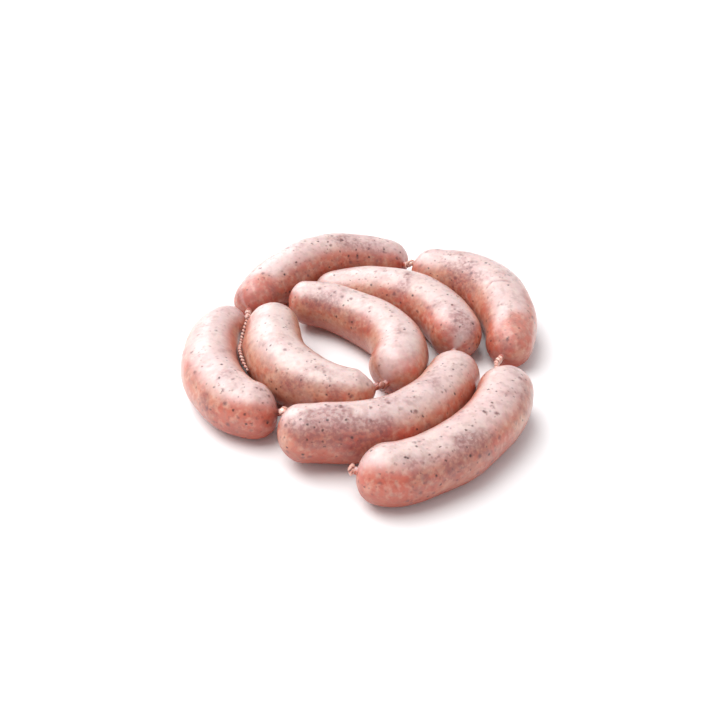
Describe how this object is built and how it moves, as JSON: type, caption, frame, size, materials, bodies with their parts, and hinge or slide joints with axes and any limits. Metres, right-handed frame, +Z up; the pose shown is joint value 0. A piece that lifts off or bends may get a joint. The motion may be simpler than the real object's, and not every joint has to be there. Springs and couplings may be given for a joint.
{
  "type": "string of sausage links",
  "caption": "Loose coil of raw sausage links in natural casing, joined end to end by short twists of empty casing, with a knotted start and a long twisted tail.",
  "frame": {"origin": "on the surface that the coil rests on, under the middle of its outline", "axes": "+Z up, -Y towards the front link and the knotted start, +X towards the right link"},
  "size_m": [0.2267, 0.2695, 0.0399],
  "materials": {
    "sausage": "moist translucent casing over coarse raw meat",
    "empty_casing": "moist, twisted, translucent"
  },
  "bodies": {
    "root": {"link_1_front": "sausage", "link_2_right": "sausage", "link_3_back": "sausage", "link_4_left": "sausage", "link_5_middle": "sausage", "link_6_inner_back": "sausage", "link_7_inner_right": "sausage", "link_8_inner_left": "sausage", "twist_1_2": "empty_casing", "twist_2_3": "empty_casing", "twist_3_4": "empty_casing", "twist_4_5": "empty_casing", "twist_5_6": "empty_casing", "twist_6_7": "empty_casing", "twist_7_8": "empty_casing", "end_knot": "empty_casing", "casing_tail": "empty_casing"}
  },
  "joints": []
}
